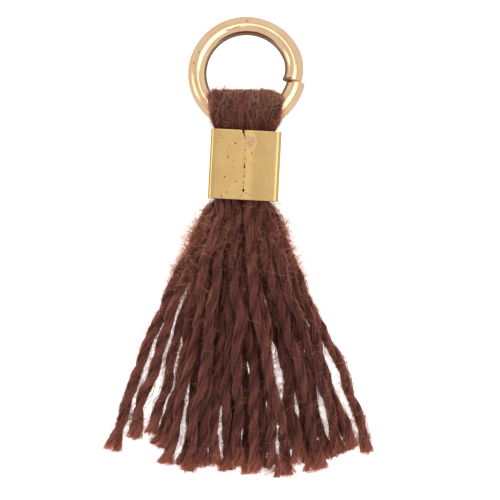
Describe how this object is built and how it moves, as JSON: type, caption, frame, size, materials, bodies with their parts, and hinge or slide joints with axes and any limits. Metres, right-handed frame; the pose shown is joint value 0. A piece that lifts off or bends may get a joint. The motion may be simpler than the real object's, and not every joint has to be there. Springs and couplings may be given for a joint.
{
  "type": "tassel charm",
  "caption": "Small tassel charm: brown yarn folded over an open jump ring, held by a pressed metal crimp band and cut into a fan of separate strands.",
  "frame": {"origin": "centre of the crimp band's flat back, on the surface that the charm lies on", "axes": "+Y along the charm from the cut ends to the ring, +Z off the surface to the front, +X to the right seen from the front"},
  "size_m": [0.023, 0.0394, 0.0046],
  "materials": {
    "ring_wire": "polished gold plate over brass wire, with fine pits and handling marks",
    "band_sheet": "satin gold plate over thin brass sheet, pitted, with a dark seam",
    "brown_yarn": "reddish brown two-ply yarn, matt and fuzzy, with frayed cut ends"
  },
  "bodies": {
    "root": {"jump_ring": "ring_wire", "crimp_band": "band_sheet", "yarn_tassel": "brown_yarn"}
  },
  "joints": []
}
